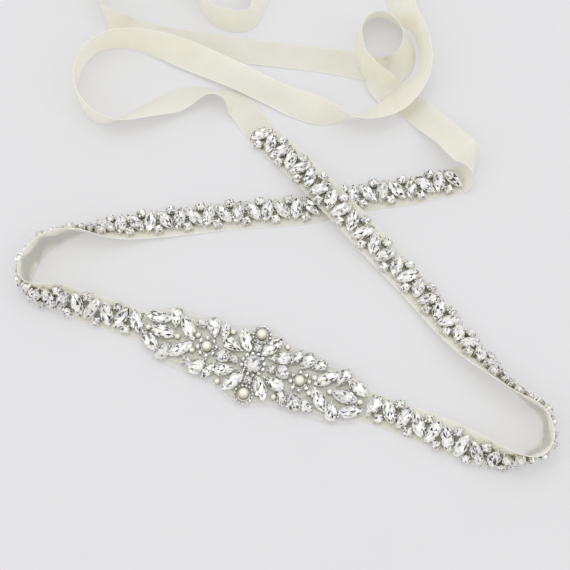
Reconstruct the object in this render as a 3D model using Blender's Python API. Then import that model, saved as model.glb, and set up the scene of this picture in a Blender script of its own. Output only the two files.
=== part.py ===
"""A bridal sash laid on a table: one ivory ribbon, two stone trims and a beaded centrepiece.

All sizes are millimetres; the meshes are built in metres. The whole ribbon follows one route over
the table. A place on it is s (millimetres along the route, 0 at the middle of the centrepiece),
v (across the ribbon, toward its left edge) and h (out of the face that carries the stones).
"""
import math

import bpy
import numpy as np
from mathutils.geometry import delaunay_2d_cdt

MM = 0.001

# Ribbon
RIBBON_WIDTH = 16.0
RIBBON_WALL = 1.0
SEAM_GAP = 0.3

# Stone trim
TRIM_PITCH = 7.84
TRIM_BASE = 1.1
TRIM_PLATE = 0.8
TRIM_HALF_WIDTH = 7.15
TRIM_WAVE = 0.65
TRIM_END = 3.75
STONE_GIRDLE = 1.7
STONE_TOP = 3.4
SMALL_TOP = 2.6
MARQUISE = (12.7, 6.0)
FORWARD_ANGLE = 75.0
BACKWARD_ANGLE = 121.0
SMALL_ROUND = 4.4
SMALL_OFFSET = 5.3
STONES_IN_TRIM = 41

# Centrepiece
BACKING_WALL = 1.0
APPLIQUE_INSET = 0.6
APPLIQUE_TURN = 5.0

# The route: x and y of the ribbon's middle line, the height of its lowest point over the table,
# its roll about its own direction (90 stands it on edge, left edge up), and the stretch begun.
ROUTE_COLUMNS = ("x", "y", "lift", "roll", "mark")
TAIL_B_ROUTE = [
    (-12, 170, 0, 360, "tail_b_end"),
    (-9.5, 142, 0, 358, ""),
    (-11, 118, 0, 346, ""),
    (-12.5, 101, 0, 320, "tail_b_bight"),
    (-13.6, 89, 0, 292, ""),
    (-16.5, 81, 0, 282, ""),
    (-22, 78.8, 0, 285, ""),
    (-30, 80.2, 0, 286, ""),
    (-37.5, 83, 0, 281, ""),
    (-43, 89.5, 0, 276, ""),
    (-48, 98, 0, 272, ""),
    (-54, 110, 0, 270, "tail_b_turn"),
    (-64, 124, 0, 270, ""),
    (-79, 132, 0, 270, ""),
    (-92, 128, 0, 272, ""),
    (-100, 116, 0, 276, ""),
    (-102, 101, 0, 278, ""),
    (-98.5, 86, 0, 272, ""),
    (-91, 78, 0, 232, ""),
    (-79, 75.6, 0, 184, "tail_b_upper_run"),
    (-65, 73, 0, 180, ""),
    (-45, 69, 0, 180, ""),
    (-5, 63, 0, 180, ""),
    (24, 59, 0, 180, ""),
    (39, 56, 0, 180, ""),
    (50, 53, 0, 184, "tail_b_ring"),
    (60, 51, 0, 206, ""),
    (67, 55.5, 0, 226, ""),
    (69.8, 64, 0, 239, ""),
    (67.8, 72.5, 0, 250, ""),
    (61.8, 80.2, 0, 252, ""),
    (54, 84, 0, 250, ""),
    (46, 79, 0.6, 254, ""),
    (42.3, 67, 2.2, 258, ""),
    (43.6, 56, 2.8, 259, ""),
    (48.4, 47, 2.7, 252, ""),
    (53.5, 41.6, 1.6, 226, ""),
    (58, 38.2, 0.3, 196, "tail_b_lower_run"),
    (62.5, 35.4, 0, 182, ""),
    (69.6, 30.6, 0, 180, ""),
    (79.8, 19.8, 2.6, 180, ""),
    (87, 10.6, 7, 180, ""),
    (91.2, 3.2, 11.2, 180, "tail_b_fold"),
]

# The fold: tail B comes over a level line and goes on under it as the left run, half a turn of a helix
FOLD_START = (96.2, -3.4)
FOLD_END = (93.6, -14.6)
FOLD_RADIUS = 6.6
FOLD_SPREAD = 2.4
FOLD_ROWS = 12

SASH_ROUTE = [
    (93.6, -14.6, 0, 0, "left_run"),
    (84, -16.8, 0, 0, ""),
    (68, -20.6, 0, 0, ""),
    (44, -24, 0, 0, ""),
    (17, -31, 0, 0, ""),
    (-15, -34, 0, 0, ""),
    (-42, -37, 0, 2, ""),
    (-63, -40, 0, 6, ""),
    (-81, -43, 0, 18, ""),
    (-95, -46, 0, 48, "left_bend"),
    (-106, -48, 0, 82, ""),
    (-116, -51, 0, 96, ""),
    (-125, -58, 0, 104, ""),
    (-129, -66, 0, 106, ""),
    (-130, -73, 0, 102, ""),
    (-126, -79, 0, 82, ""),
    (-118, -81.5, 0, 60, ""),
    (-106, -84.5, 0, 38, "front"),
    (-92, -89, 0, 20, ""),
    (-74, -95, 0, 6, ""),
    (-53, -102, 0, 0, ""),
    (-14, -117, 0, 0, "middle"),
    (29, -133, 0, 0, ""),
    (59, -144, 0, 3, ""),
    (78, -152, 0, 13, ""),
    (92, -159, 0, 34, "right_bend"),
    (105, -164, 0, 66, ""),
    (115, -165, 0, 96, ""),
    (123, -163, 0, 112, ""),
    (128, -157, 0, 104, ""),
    (129, -150, 0, 94, ""),
    (126, -142, 0, 88, ""),
    (117.5, -135, 0, 78, ""),
    (106.5, -124, 0, 58, ""),
    (93.2, -108.9, 0, 32, "right_run"),
    (79.5, -90.6, 0, 14, ""),
    (61.5, -67.5, 1, 4, ""),
    (47, -52, 4.6, 0, ""),
    (34, -37, 6.5, 0, ""),
    (20, -21, 6.5, 0, ""),
    (5, -3, 2.6, 0, ""),
    (-10, 13, 0, 0, "tail_a_start"),
    (-16, 21.5, 0, 0, ""),
    (-22.5, 29.5, 0, 10, ""),
    (-28.5, 33.6, 0, 34, ""),
    (-35, 35, 0, 54, ""),
    (-42, 35.6, 0, 40, ""),
    (-49, 34.8, 0, 24, ""),
    (-57, 32, 0, 16, ""),
    (-68, 26.4, 0, 32, ""),
    (-79, 21.2, 0, 46, ""),
    (-88, 18, 0, 62, "tail_a_turn"),
    (-97, 18.5, 0, 84, ""),
    (-106, 26, 0, 92, ""),
    (-111, 37, 0, 92, ""),
    (-111, 48, 0, 90, ""),
    (-107, 59, 0, 88, ""),
    (-99, 66, 0, 87, ""),
    (-88, 68, 0.8, 82, ""),
    (-78, 66.8, 1.8, 72, "tail_a_long_run"),
    (-66, 63.8, 2, 56, ""),
    (-54, 59.8, 2, 36, ""),
    (-43, 55.8, 2, 20, ""),
    (-25, 47.8, 2.5, 5, ""),
    (-5, 38, 1.2, 0, ""),
    (13, 28, 0, 28, ""),
    (27, 22, 0, 72, "tail_a_twist"),
    (38, 20, 0.6, 112, ""),
    (50, 22, 2.8, 138, ""),
    (62, 29, 3.3, 150, ""),
    (72.2, 39.5, 2.9, 136, ""),
    (77.6, 51, 0.4, 114, ""),
    (78.6, 60, 0, 106, ""),
    (77.6, 69, 0, 102, ""),
    (73.8, 78.5, 0, 104, ""),
    (69.2, 88, 0, 134, "tail_a_end"),
    (66.3, 99, 0, 168, ""),
    (61, 118, 0, 180, ""),
    (55, 139, 0, 180, ""),
    (53, 165, 0, 180, ""),
]
TRIMMED = ("left_run", "tail_a_start")

# Where each trim's marquises stand: rows of (number, s), evenly spaced between two rows. The left
# trim's stones close up on its bend.
STONE_PLACES = {
    "trim_left": [(0, -63.3), (5, -102.3), (15, -173.1), (40, -365.3)],
    "trim_right": [(0, 63.5), (10, 141.9), (24, 249.9), (36, 347.1), (40, 378.5)],
}

# How far the trim's middle lies from the ribbon's middle: rows of (s, v)
TRIM_MIDDLE = [
    (-180, -1.0),
    (-150, -0.6),
    (-110, 0.2),
    (-76, 0.3),
    (-62, 1.4),
    (62, 1.0),
    (78, 0.4),
    (92, -1.0),
    (180, -1.0),
    (255, -0.7),
    (320, 1.0),
]

# Corners of the bare ribbon's section, and of the ribbon with its trim, as (v, h)
PLAIN_SECTION = ((8.0, 0.5), (8.0, -0.5), (-8.0, 0.5), (-8.0, -0.5))
TRIM_SECTION = ((-8.8, 1.0), (-8.8, 1.8), (-8.3, 4.4), (6.8, 1.0), (6.3, 4.4))

# Half the width of the centrepiece's backing, by distance from its middle
BACKING_OUTLINE = [
    (0.0, 22.0),
    (5.5, 21.3),
    (9.5, 18.8),
    (15.0, 16.6),
    (22.0, 16.4),
    (35.0, 15.6),
    (46.5, 15.0),
    (53.0, 12.4),
    (57.4, 10.4),
    (59.2, 6.0),
]

COLOURS = {
    "ribbon": (0.83, 0.79, 0.70, 1.0),
    "trim": (0.80, 0.80, 0.79, 1.0),
    "backing": (0.86, 0.85, 0.81, 1.0),
}


def cubic_spline(knots, values, at):
    """Natural cubic spline through the values, one column at a time."""
    count = len(knots)
    span = np.diff(knots)
    system = np.eye(count)
    right = np.zeros_like(values)
    for i in range(1, count - 1):
        system[i, i - 1] = span[i - 1]
        system[i, i] = 2 * (span[i - 1] + span[i])
        system[i, i + 1] = span[i]
        right[i] = 6 * ((values[i + 1] - values[i]) / span[i] - (values[i] - values[i - 1]) / span[i - 1])
    bend = np.linalg.solve(system, right)
    k = np.clip(np.searchsorted(knots, at, side="right") - 1, 0, count - 2)
    width = span[k][:, None]
    left = (knots[k + 1] - at)[:, None]
    done = (at - knots[k])[:, None]
    curve = (bend[k] * left**3 + bend[k + 1] * done**3) / (6 * width)
    start = (values[k] / width - bend[k] * width / 6) * left
    return curve + start + (values[k + 1] / width - bend[k + 1] * width / 6) * done


def eased(knots, values, at):
    """Smooth values that never overshoot a row: cubic pieces with level or averaged slopes."""
    span = np.diff(knots)
    slope = np.diff(values) / span
    tangent = np.zeros(len(knots))
    for i in range(1, len(knots) - 1):
        if slope[i - 1] * slope[i] > 0:
            tangent[i] = 2 * slope[i - 1] * slope[i] / (slope[i - 1] + slope[i])
    k = np.clip(np.searchsorted(knots, at, side="right") - 1, 0, len(knots) - 2)
    t = (at - knots[k]) / span[k]
    rise = values[k + 1] - values[k]
    first = span[k] * tangent[k]
    last = span[k] * tangent[k + 1]
    return values[k] + first * t + (3 * rise - 2 * first - last) * t**2 + (first + last - 2 * rise) * t**3


def lowest(section, roll):
    """How far the section's lowest corner lies under the ribbon's middle line."""
    sine, cosine = np.sin(roll), np.cos(roll)
    return np.max([-(v * sine + h * cosine) for v, h in section], axis=0)


def fold_rows():
    """Rows of the fold: its angle runs from 0 on top to pi underneath.

    The middle line goes round a circle while it moves evenly along the fold's line. The ribbon's
    face points to that line, which gives the roll. The spread widens the circle's lower half, so
    that the ribbon's lower corner stays over the table.
    """
    start, end = np.array(FOLD_START), np.array(FOLD_END)
    line = end - start
    side = np.array([-line[1], line[0]]) / np.linalg.norm(line)
    pitch = np.linalg.norm(line) / math.hypot(np.linalg.norm(line), math.pi * FOLD_RADIUS)
    rows = []
    for angle in np.linspace(0, math.pi, FOLD_ROWS, endpoint=False):
        x, y = start + line * angle / math.pi + side * FOLD_RADIUS * math.sin(angle)
        roll = math.atan2(pitch * math.sin(angle), -math.cos(angle))
        height = PLAIN_SECTION[0][1] + FOLD_RADIUS * (1 + math.cos(angle)) + FOLD_SPREAD * math.sin(angle)
        rows.append((x, y, height - float(lowest(PLAIN_SECTION, roll)), math.degrees(roll), ""))
    return rows


class Route:
    """The ribbon's middle line with its directions: along it, across it and out of its face."""

    STEP = 0.5

    def __init__(self):
        route = TAIL_B_ROUTE + fold_rows() + SASH_ROUTE
        rows = [dict(zip(ROUTE_COLUMNS, row)) for row in route]
        flat = np.array([(row["x"], row["y"]) for row in rows], float)
        knots = np.concatenate([[0.0], np.cumsum(np.linalg.norm(np.diff(flat, axis=0), axis=1))])
        at = np.arange(0.0, knots[-1], self.STEP)
        plan = cubic_spline(knots, flat, at)
        lift = eased(knots, np.array([row["lift"] for row in rows], float), at)
        roll = np.radians(eased(knots, np.array([row["roll"] for row in rows], float), at))
        marks = {row["mark"]: knot for row, knot in zip(rows, knots) if row["mark"]}
        trimmed = (at > marks[TRIMMED[0]]) & (at < marks[TRIMMED[1]])
        plain = lowest(PLAIN_SECTION, roll)
        height = np.where(trimmed, np.maximum(plain, lowest(TRIM_SECTION, roll)), plain)
        self.point = np.column_stack([plan, lift + height])
        self.roll = roll
        step = np.linalg.norm(np.diff(self.point, axis=0), axis=1)
        length = np.concatenate([[0.0], np.cumsum(step)])
        self.s = length - np.interp(marks["middle"], at, length)
        self.marks = {name: float(np.interp(knot, at, self.s)) for name, knot in marks.items()}
        self.along = np.gradient(self.point, self.s, axis=0)
        self.along /= np.linalg.norm(self.along, axis=1)[:, None]
        level = np.cross([0.0, 0.0, 1.0], self.along)
        level /= np.linalg.norm(level, axis=1)[:, None]
        upright = np.cross(self.along, level)
        cosine, sine = np.cos(roll)[:, None], np.sin(roll)[:, None]
        self.across = cosine * level + sine * upright
        self.out = -sine * level + cosine * upright

    def sample(self, table, s):
        return np.column_stack([np.interp(s, self.s, table[:, axis]) for axis in range(3)])

    def place(self, s, v, h):
        """Points in millimetres at the given s, v and h."""
        s, v, h = (np.asarray(value, float) for value in (s, v, h))
        return self.sample(self.point, s) + v[:, None] * self.sample(self.across, s) \
            + h[:, None] * self.sample(self.out, s)

    def stations(self, start, end, reach):
        """Values of s, closer together where the ribbon turns or twists, at most reach apart."""
        turn = np.linalg.norm(np.gradient(self.along, self.s, axis=0), axis=1)
        twist = np.abs(np.gradient(self.roll, self.s))
        need = np.cumsum((1 / reach + turn / 0.2 + twist / 0.2) * np.gradient(self.s))
        first, last = np.interp([start, end], self.s, need)
        count = max(2, math.ceil(last - first) + 1)
        return np.interp(np.linspace(first, last, count), need, self.s)


def material(name, colour, roughness, metallic):
    made = bpy.data.materials.new(name)
    made.use_nodes = True
    shader = made.node_tree.nodes["Principled BSDF"]
    shader.inputs["Base Color"].default_value = colour
    shader.inputs["Roughness"].default_value = roughness
    shader.inputs["Metallic"].default_value = metallic
    made.diffuse_color = colour
    return made


def add_object(name, points, faces, colour, roughness, metallic=0.0, smooth=False):
    mesh = bpy.data.meshes.new(name)
    mesh.from_pydata((np.asarray(points) * MM).tolist(), [], [list(map(int, face)) for face in faces])
    mesh.validate()
    made = bpy.data.objects.new(name, mesh)
    bpy.context.scene.collection.objects.link(made)
    mesh.materials.append(material(name + "_material", colour, roughness, metallic))
    if smooth:
        mesh.shade_smooth()
        mesh.set_sharp_from_angle(angle=math.radians(40))
    return made


def ribbon_stretch(route, name, start, end):
    """A closed wall: three points over the section, three under it, swept along the route."""
    half = RIBBON_WIDTH / 2
    across = np.linspace(-half, half, 3)
    ring_v = np.concatenate([across, across[::-1]])
    ring_h = np.repeat([RIBBON_WALL / 2, -RIBBON_WALL / 2], len(across))
    size = len(ring_v)
    stations = route.stations(start, end, 12.0)
    points = route.place(np.repeat(stations, size), np.tile(ring_v, len(stations)), np.tile(ring_h, len(stations)))
    faces = []
    for row in range(len(stations) - 1):
        low = row * size
        for i in range(size):
            j = (i + 1) % size
            a, b, c, d = low + i, low + j, low + size + j, low + size + i
            # the same diagonal on both faces keeps the wall's thickness where it twists
            split = ((a, c, b), (a, d, c)) if i < len(across) else ((a, d, b), (b, d, c))
            faces.extend(split)
    last = (len(stations) - 1) * size
    for i in range(len(across) - 1):
        a, b, c, d = i, i + 1, size - 2 - i, size - 1 - i
        faces.append((a, b, c, d))
        faces.append((last + d, last + c, last + b, last + a))
    return add_object(name, points, faces, COLOURS["ribbon"], 0.38, smooth=True)


def turned(shape, angle, s, v):
    """The shape's (x, y) points turned by an angle in degrees and moved to (s, v)."""
    cosine, sine = math.cos(math.radians(angle)), math.sin(math.radians(angle))
    x, y = np.asarray(shape, float).T
    return np.column_stack([s + x * cosine - y * sine, v + x * sine + y * cosine])


def marquise(length, width):
    """A pointed oval: two tips joined by shallow arcs."""
    x = np.array([-1.0, -0.56, 0.0, 0.56, 1.0]) * length / 2
    y = width / 2 * (1 - (2 * x / length) ** 2) ** 0.9
    return np.concatenate([np.column_stack([x, -y]), np.column_stack([x, y])[3:0:-1]])


def pear(length, width):
    """A drop: half a circle at its broad end and a tip at +x."""
    radius = width / 2
    centre = radius - length / 2
    angles = np.radians([90, 135, 180, 225, 270])
    round_end = np.column_stack([centre + radius * np.cos(angles), radius * np.sin(angles)])
    side = centre + 0.45 * (length / 2 - centre)
    return np.concatenate([round_end, [(side, -0.74 * radius), (length / 2, 0), (side, 0.74 * radius)]])


def disc(diameter, sides=8):
    """A round edge as a regular polygon."""
    angles = np.linspace(0, 2 * math.pi, sides, endpoint=False)
    return diameter / 2 * np.column_stack([np.cos(angles), np.sin(angles)])


def cut_stone(outline, top=STONE_TOP):
    """Rings of a cut stone in its setting: foot, girdle and table, as (points, height)."""
    centre = outline.mean(axis=0)
    girdle = centre + (outline - centre) * 0.95
    table = centre + (outline - centre) * 0.5
    return [(outline, 0.0), (girdle, STONE_GIRDLE * top / STONE_TOP), (table, top)]


def small_stone(outline):
    """Rings of a small stone: its foot and its table."""
    centre = outline.mean(axis=0)
    return [(outline, 0.0), (centre + (outline - centre) * 0.6, SMALL_TOP)]


def pearl(diameter, s, v):
    """Rings of a round bead seated in the plate."""
    foot = turned(disc(diameter), 0, s, v)
    centre = foot.mean(axis=0)
    rows = ((1.0, 0.0), (0.97, 0.45), (0.74, 0.8), (0.36, 0.97))
    return [(centre + (foot - centre) * wide, diameter * 0.86 * high) for wide, high in rows]


def ring_of_stones(inner, outer, s, v, top):
    """A raised round band: the small stones set round a pearl or the middle stone."""
    sides = 10
    middle = (inner + outer) / 2
    rows = ((outer, 0.0), (middle + 0.3, top), (middle - 0.3, top), (inner, 0.0))
    return [(turned(disc(2 * radius, sides), 9, s, v), high) for radius, high in rows]


def stone_places(name):
    """Where a trim's marquises stand along the route."""
    number, s = np.array(STONE_PLACES[name], float).T
    return np.interp(np.arange(STONES_IN_TRIM), number, s)


def trim_middle(s):
    return np.interp(s, *np.array(TRIM_MIDDLE, float).T)


def opens_left(name, number):
    """True if the gap after this marquise opens toward the ribbon's left edge."""
    backward = (number % 2 == 0) == (name == "trim_left")
    return backward == (name == "trim_right")


def trim_stones(name):
    """Every stone of one trim: leaning marquises, with a small round one at each open side."""
    stones = []
    places = stone_places(name)
    for number, s in enumerate(places):
        near = places[max(number - 1, 0):number + 2]
        squeeze = min(1.0, abs(near[-1] - near[0]) / (len(near) - 1) / TRIM_PITCH)
        backward = (number % 2 == 0) == (name == "trim_left")
        shape = turned(marquise(*MARQUISE), BACKWARD_ANGLE if backward else FORWARD_ANGLE, 0, 0)
        stones.append(cut_stone(shape * (squeeze, 1) + (s, trim_middle(s))))
        if number < STONES_IN_TRIM - 1:
            middle = (s + places[number + 1]) / 2
            side = 1 if opens_left(name, number) else -1
            shape = turned(disc(SMALL_ROUND, 6), 13, 0, 0) * (squeeze, 1)
            stones.append(small_stone(shape + (middle, trim_middle(middle) + side * SMALL_OFFSET)))
    return stones


def trim_outline(name):
    """The trim's wavy edge: it swings out round each small stone, with rounded ends."""
    places = stone_places(name)
    number = np.arange(-0.15, STONES_IN_TRIM - 0.8, 1 / 3)
    pitch = (places[-1] - places[0]) / (STONES_IN_TRIM - 1)
    outside = np.minimum(number, 0) + np.maximum(number - (STONES_IN_TRIM - 1), 0)
    along = np.interp(number, np.arange(STONES_IN_TRIM), places) + outside * pitch
    side = 1 if opens_left(name, 0) else -1
    wave = side * TRIM_WAVE * np.cos(math.pi * (number - 0.5))
    right = np.column_stack([along, trim_middle(along) - TRIM_HALF_WIDTH + wave])
    left = np.column_stack([along, trim_middle(along) + TRIM_HALF_WIDTH + wave])
    if pitch < 0:
        right, left = right[::-1], left[::-1]
    low, high = sorted([places[0], places[-1]])
    near = [(low - TRIM_END, trim_middle(low) + v) for v in (6.2, 0.0, -6.2)]
    far = [(high + TRIM_END, trim_middle(high) + v) for v in (-6.2, 0.0, 6.2)]
    return np.concatenate([right, far, left[::-1], near])


def triangles(points, loops, outline_size):
    """Triangles that fill the outline and keep every loop's edges, as indices into the points."""
    edges = [(loop[i], loop[(i + 1) % len(loop)]) for loop in loops for i in range(len(loop))]
    outline = list(range(outline_size))
    result = delaunay_2d_cdt([tuple(map(float, p)) for p in points], edges, [outline], 1, 1e-5, True)
    sources = result[3]
    if any(not source for source in sources):
        raise ValueError("stone outlines cross")
    faces = []
    for face, inside in zip(result[2], result[5]):
        if not inside:
            continue
        corners = [sources[i][0] for i in face]
        a, b, c = (points[i] for i in corners)
        turn = (b[0] - a[0]) * (c[1] - a[1]) - (b[1] - a[1]) * (c[0] - a[0])
        faces.append(corners if turn > 0 else corners[::-1])
    return faces


def raised_solid(route, name, outline, stones, base, plate, middle, colour):
    """One closed solid: a plain underside, a plate, and every stone raised out of the plate."""
    plan = [outline]
    heights = [np.full(len(outline), base + plate)]
    loops = []
    total = len(outline)
    for rings in stones:
        for points, height in rings:
            plan.append(points)
            heights.append(np.full(len(points), base + plate + height))
            loops.append(list(range(total, total + len(points))))
            total += len(points)
    plan = np.concatenate(plan)
    heights = np.concatenate(heights)
    size = len(outline)
    top = triangles(plan, loops, size)
    under_plan = np.concatenate([outline, middle])
    under = triangles(under_plan, [], size)
    points = np.concatenate([
        route.place(plan[:, 0], plan[:, 1], heights),
        route.place(under_plan[:, 0], under_plan[:, 1], np.full(len(under_plan), base)),
    ])
    faces = top + [[total + i for i in face[::-1]] for face in under]
    for i in range(size):
        j = (i + 1) % size
        faces.append([i, total + i, total + j])
        faces.append([i, total + j, j])
    return add_object(name, points, faces, colour, 0.18, 0.6)


def trim(route, name):
    """One stone trim, sewn along the ribbon's face."""
    outline = trim_outline(name)
    low, high = sorted(stone_places(name)[[0, -1]])
    along = np.arange(low, high + 0.1, TRIM_PITCH / 2)
    middle = np.column_stack([along, trim_middle(along)])
    return raised_solid(route, name, outline, trim_stones(name), TRIM_BASE, TRIM_PLATE, middle, COLOURS["trim"])


def backing_outline(inset):
    """The backing's edge all the way round, drawn in by the inset; the table gives one quarter."""
    length = BACKING_OUTLINE[-1][0]
    rows = [(u * (1 - inset / length), half - inset) for u, half in BACKING_OUTLINE]
    quarter = np.array(rows)
    # four mirrored quarters, without the corners that two of them share
    lower_right = quarter * (1, -1)
    upper_right = quarter[::-1]
    upper_left = quarter[1:] * (-1, 1)
    lower_left = quarter[:0:-1] * (-1, -1)
    return np.concatenate([lower_right, upper_right, upper_left, lower_left])


def centre_backing(route):
    """The sheer fabric under the centrepiece: a flat wall on the ribbon."""
    outline = backing_outline(0.0)
    size = len(outline)
    faces = triangles(outline, [], size)
    base = RIBBON_WALL / 2 + SEAM_GAP
    top = route.place(outline[:, 0], outline[:, 1], np.full(size, base + BACKING_WALL))
    under = route.place(outline[:, 0], outline[:, 1], np.full(size, base))
    faces = faces + [[size + i for i in face[::-1]] for face in faces]
    for i in range(size):
        j = (i + 1) % size
        faces.append([i, size + i, size + j])
        faces.append([i, size + j, j])
    return add_object("centre_backing", np.concatenate([top, under]), faces, COLOURS["backing"], 0.5)


def quarters(u, v, angle):
    """One place and its three mirror images, as (u, v, angle)."""
    return [(u, v, angle), (-u, v, 180 - angle), (u, -v, -angle), (-u, -v, 180 + angle)]


def flower_stones():
    """The middle flower, before it is turned a little against the ribbon."""
    stones = [("stone", disc(8.2, 10), 0, 0, 0), ("band", (4.4, 6.5), 0, 0, 1.9)]
    for side in (-1, 1):
        stones.append(("stone", disc(4.2, 7), side * 9.6, 0, 0))
        stones.append(("stone", disc(4.0, 7), 0, side * 8.8, 0))
        stones.append(("stone", disc(6.6), side * 15.6, 0, 0))
        stones.append(("pearl", 6.0, 0, side * 15.9, 0))
        stones.append(("band", (3.5, 4.9), 0, side * 15.9, 1.3))
    for u, v, angle in quarters(6.9, 11.2, 58):
        stones.append(("stone", marquise(11.6, 5.2), u, v, angle))
    for u, v, angle in quarters(12.4, 6.6, 197):
        stones.append(("stone", pear(9.8, 5.4), u, v, angle))
    return stones


def wing_stones():
    """Both wings of the centrepiece, mirrored about its middle and about the ribbon."""
    stones = []
    for side in (-1, 1):
        stones.append(("pearl", 6.0, side * 24.8, 0, 0))
        stones.append(("band", (3.5, 5.6), side * 24.8, 0, 1.5))
        stones.append(("pearl", 3.2, side * 40.6, 0, 0))
        stones.append(("pearl", 3.2, side * 56.3, 0, 0))
        stones.append(("stone", marquise(11.6, 5.6), side * 48.5, 0, 0))
    for u, v, angle in quarters(19.4, 11.2, 72):
        stones.append(("stone", marquise(8.0, 3.8), u, v, angle))
    for u, v, angle in quarters(25.2, 10.6, 243):
        stones.append(("stone", pear(9.6, 5.8), u, v, angle))
    for u, v, angle in quarters(31.6, 10.6, 220):
        stones.append(("stone", pear(7.2, 4.6), u, v, angle))
    for u, v, angle in quarters(31.2, 4.2, 0):
        stones.append(("pearl", 3.2, u, v, angle))
    for u, v, angle in quarters(37.0, 5.8, 47):
        stones.append(("stone", marquise(12.2, 5.2), u, v, angle))
    for u, v, angle in quarters(44.6, 9.0, -106):
        stones.append(("stone", pear(9.6, 5.6), u, v, angle))
    for u, v, angle in quarters(53.0, 6.6, -25):
        stones.append(("stone", marquise(11.2, 5.0), u, v, angle))
    return stones


def stone_rings(stones, turn):
    """The rings of each listed stone, with the whole group turned about the middle."""
    made = []
    for kind, shape, u, v, angle in stones:
        cosine, sine = math.cos(math.radians(turn)), math.sin(math.radians(turn))
        s, across = u * cosine - v * sine, u * sine + v * cosine
        if kind == "stone":
            made.append(cut_stone(turned(shape, angle + turn, s, across)))
        elif kind == "pearl":
            made.append(pearl(shape, s, across))
        else:
            made.append(ring_of_stones(*shape, s, across, angle))
    return made


def centre_applique(route):
    """The centrepiece: its flower and both wings, raised out of one plate on the backing."""
    stones = stone_rings(flower_stones(), APPLIQUE_TURN) + stone_rings(wing_stones(), 0.0)
    base = RIBBON_WALL / 2 + 2 * SEAM_GAP + BACKING_WALL
    nothing = np.zeros((0, 2))
    outline = backing_outline(APPLIQUE_INSET)
    return raised_solid(route, "centre_applique", outline, stones, base, TRIM_PLATE, nothing, COLOURS["trim"])


def main():
    for old in list(bpy.data.objects):
        bpy.data.objects.remove(old, do_unlink=True)
    route = Route()
    marks = [(name, place) for name, place in route.marks.items() if name != "middle"]
    ends = [place for _, place in marks[1:]] + [float(route.s[-1])]
    for (name, start), end in zip(marks, ends):
        ribbon_stretch(route, "ribbon_" + name, start + SEAM_GAP / 2, end - SEAM_GAP / 2)
    trim(route, "trim_left")
    trim(route, "trim_right")
    centre_backing(route)
    centre_applique(route)


main()
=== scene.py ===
"""A bridal sash lying on a pale table: a satin ribbon, two crystal trims and a beaded centrepiece.

Sizes are millimetres until a mesh is made. The ribbon follows one route over the table. A place on
it is s (along the route, 0 at the middle of the centrepiece), v (across the ribbon, toward its left
edge) and h (out of the face that carries the stones).
"""
import math

import bpy
import numpy as np
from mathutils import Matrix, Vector


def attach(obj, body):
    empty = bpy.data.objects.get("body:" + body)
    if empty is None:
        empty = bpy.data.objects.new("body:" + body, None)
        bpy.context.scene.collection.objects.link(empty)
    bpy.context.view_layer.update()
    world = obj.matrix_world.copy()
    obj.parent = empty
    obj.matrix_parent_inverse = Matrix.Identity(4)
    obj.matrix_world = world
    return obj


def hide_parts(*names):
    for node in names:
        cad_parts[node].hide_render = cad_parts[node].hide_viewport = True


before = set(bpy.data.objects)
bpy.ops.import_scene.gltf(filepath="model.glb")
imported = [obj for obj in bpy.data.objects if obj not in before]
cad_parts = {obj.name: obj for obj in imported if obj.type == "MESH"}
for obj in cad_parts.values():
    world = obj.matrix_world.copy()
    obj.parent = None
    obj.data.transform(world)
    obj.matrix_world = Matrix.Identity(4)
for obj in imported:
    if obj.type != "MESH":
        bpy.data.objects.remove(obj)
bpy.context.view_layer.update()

MM = 0.001
rng = np.random.default_rng(12)

# Ribbon. The cloth is thinner than the solid ribbon, so it drops a little to lie as low. Its tails are
# bare of stones from s = 372 on, and tail B lies turned over beyond s = -386.
RIBBON_WIDTH = 16.0
RIBBON_THICK = 0.35
RIBBON_DROP = 0.28
RIBBON_STEP = 0.95
BARE_FROM = 372.0
BARE_FADE = 14.0
TURNED_OVER = 386.0
TURN_FADE = 6.0
EDGE_RISE = 0.14
BARE_EDGE_RISE = 0.30

# Threads in metres: their spacing, and where the selvedge starts
SATIN_FLOATS = 0.00032
SATIN_PICKS = 0.00042
ORGANZA_THREADS = 0.0008
SELVEDGE_FROM = 0.0072

# Trims: sizes of the stones, angles that they lean at, the metal that carries them, and the dark web
# under them, whose tone is painted shade between the stones
STONES_IN_TRIM = 41
STONE_SPACING = 7.8
MARQUISE = (12.7, 6.5)
MARQUISE_CLAW = 0.8
FORWARD_ANGLE = 75.0
BACKWARD_ANGLE = 121.0
SMALL_ROUND = 4.8
SMALL_CLAW = 1.25
SMALL_OFFSET = 5.3
SMALL_ANGLE = 13.0
SMALL_DROP = 0.2
TRIM_FOOT = 0.25
TRIM_GIRDLE = 2.9
WEB_WIDTH = 8.8
WEB_SWING = 1.5
WEB_THICK = 0.2
WEB_LIFT = 0.1
WEB_END = 0.3
LINK_LENGTH = 4.6
TRIM_STITCH = 2.6
TRIM_STITCH_OFFSET = 1.6

# Centrepiece. The flower is turned a little on its backing. A stone's drawn length and width are
# multiplied by its fill.
BACKING_H = 0.95
BACKING_THICK = 0.12
BACKING_STITCH = 2.2
BED_MARGIN = 3.0
BED_H = 0.3
BED_THICK = 0.2
CENTRE_TURN = 5.0
CENTRE_FOOT = 1.15
CENTRE_GIRDLE = 3.0
CENTRE_CLAW = 0.7
ROUND_FILL = (1.14, 1.14)
LONG_FILL = (1.16, 1.26)
PEARL_FILL = 0.94
LARGE_PEARL_LIFT = 0.2
DULL_ROUND = 0.95
HALO_H = 0.9
HALO_COLLAR_H = 0.7
HALO_START = 0.3

# Outlines of the stones: the powers that narrow a marquise and a pear, and the pear's widest value
MARQUISE_POWER = 1.35
PEAR_POWER = 1.1
PEAR_WIDEST = 0.76

# Everything that stands on the ribbon stays this far over the table
CLEAR_OF_TABLE = 0.02

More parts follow.
